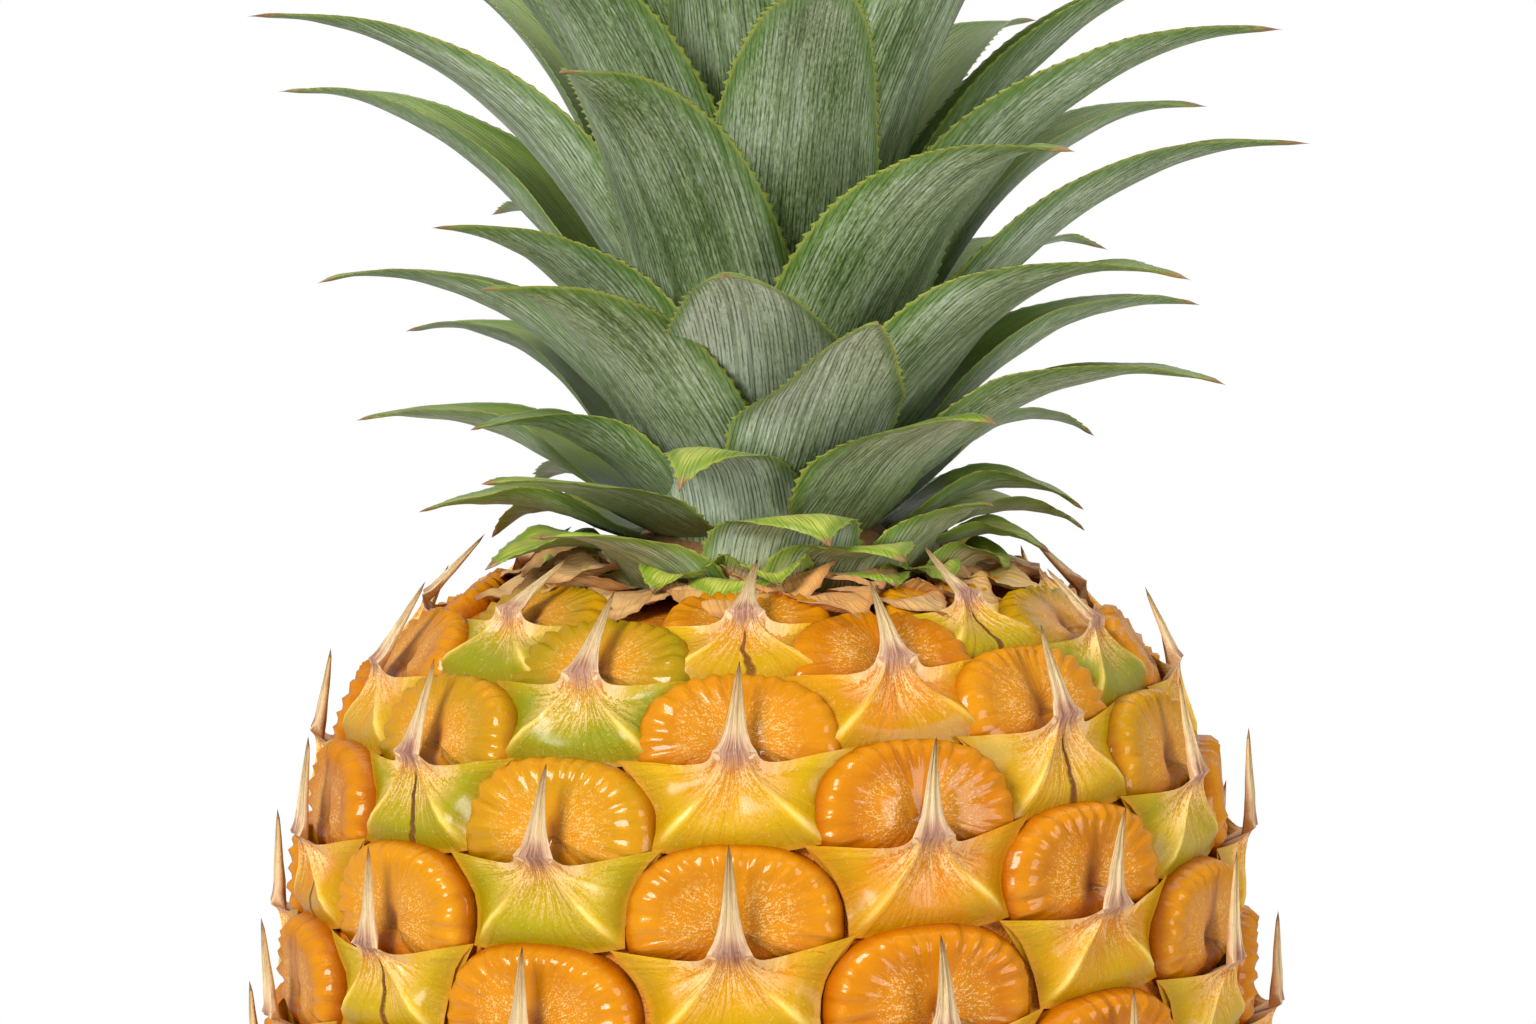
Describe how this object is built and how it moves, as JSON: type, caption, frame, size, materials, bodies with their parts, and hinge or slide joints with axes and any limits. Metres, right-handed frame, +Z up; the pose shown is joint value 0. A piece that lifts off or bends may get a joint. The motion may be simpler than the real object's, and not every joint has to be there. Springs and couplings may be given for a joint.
{
  "type": "pineapple",
  "caption": "Whole ripe pineapple standing on its trimmed base, with raised hexagonal eyes, dry spines, a collar of dry bracts and a spiral leafy crown.",
  "frame": {"origin": "centre of the stalk's cut face, in the plane that the fruit stands on", "axes": "+Z up along the fruit's axis to the crown's tip; -Y faces the front"},
  "size_m": [0.13, 0.1303, 0.2733],
  "materials": {
    "rind": "waxy ripe rind, semi-gloss",
    "stalk": "cut fibrous stalk, matt",
    "dry_bracts": "dry papery bracts, matt",
    "leaf": "tough waxy leaf, satin"
  },
  "bodies": {
    "root": {"fruit": "rind", "stalk": "stalk", "dry_collar": "dry_bracts", "crown_stem": "leaf", "leaf_01": "leaf", "leaf_02": "leaf", "leaf_03": "leaf", "leaf_04": "leaf", "leaf_05": "leaf", "leaf_06": "leaf", "leaf_07": "leaf", "leaf_08": "leaf", "leaf_09": "leaf", "leaf_10": "leaf", "leaf_11": "leaf", "leaf_12": "leaf", "leaf_13": "leaf", "leaf_14": "leaf", "leaf_15": "leaf", "leaf_16": "leaf", "leaf_17": "leaf", "leaf_18": "leaf", "leaf_19": "leaf", "leaf_20": "leaf", "leaf_21": "leaf", "leaf_22": "leaf", "leaf_23": "leaf", "leaf_24": "leaf", "leaf_25": "leaf", "leaf_26": "leaf", "leaf_27": "leaf", "leaf_28": "leaf", "leaf_29": "leaf", "leaf_30": "leaf", "leaf_31": "leaf", "leaf_32": "leaf", "leaf_33": "leaf", "leaf_34": "leaf", "leaf_35": "leaf", "leaf_36": "leaf", "leaf_37": "leaf", "leaf_38": "leaf", "leaf_39": "leaf", "leaf_40": "leaf", "leaf_41": "leaf", "leaf_42": "leaf", "leaf_43": "leaf", "leaf_44": "leaf", "leaf_45": "leaf", "leaf_46": "leaf", "leaf_47": "leaf", "leaf_48": "leaf", "leaf_49": "leaf", "leaf_50": "leaf", "leaf_51": "leaf", "leaf_52": "leaf", "leaf_53": "leaf", "leaf_54": "leaf", "leaf_55": "leaf"}
  },
  "joints": []
}
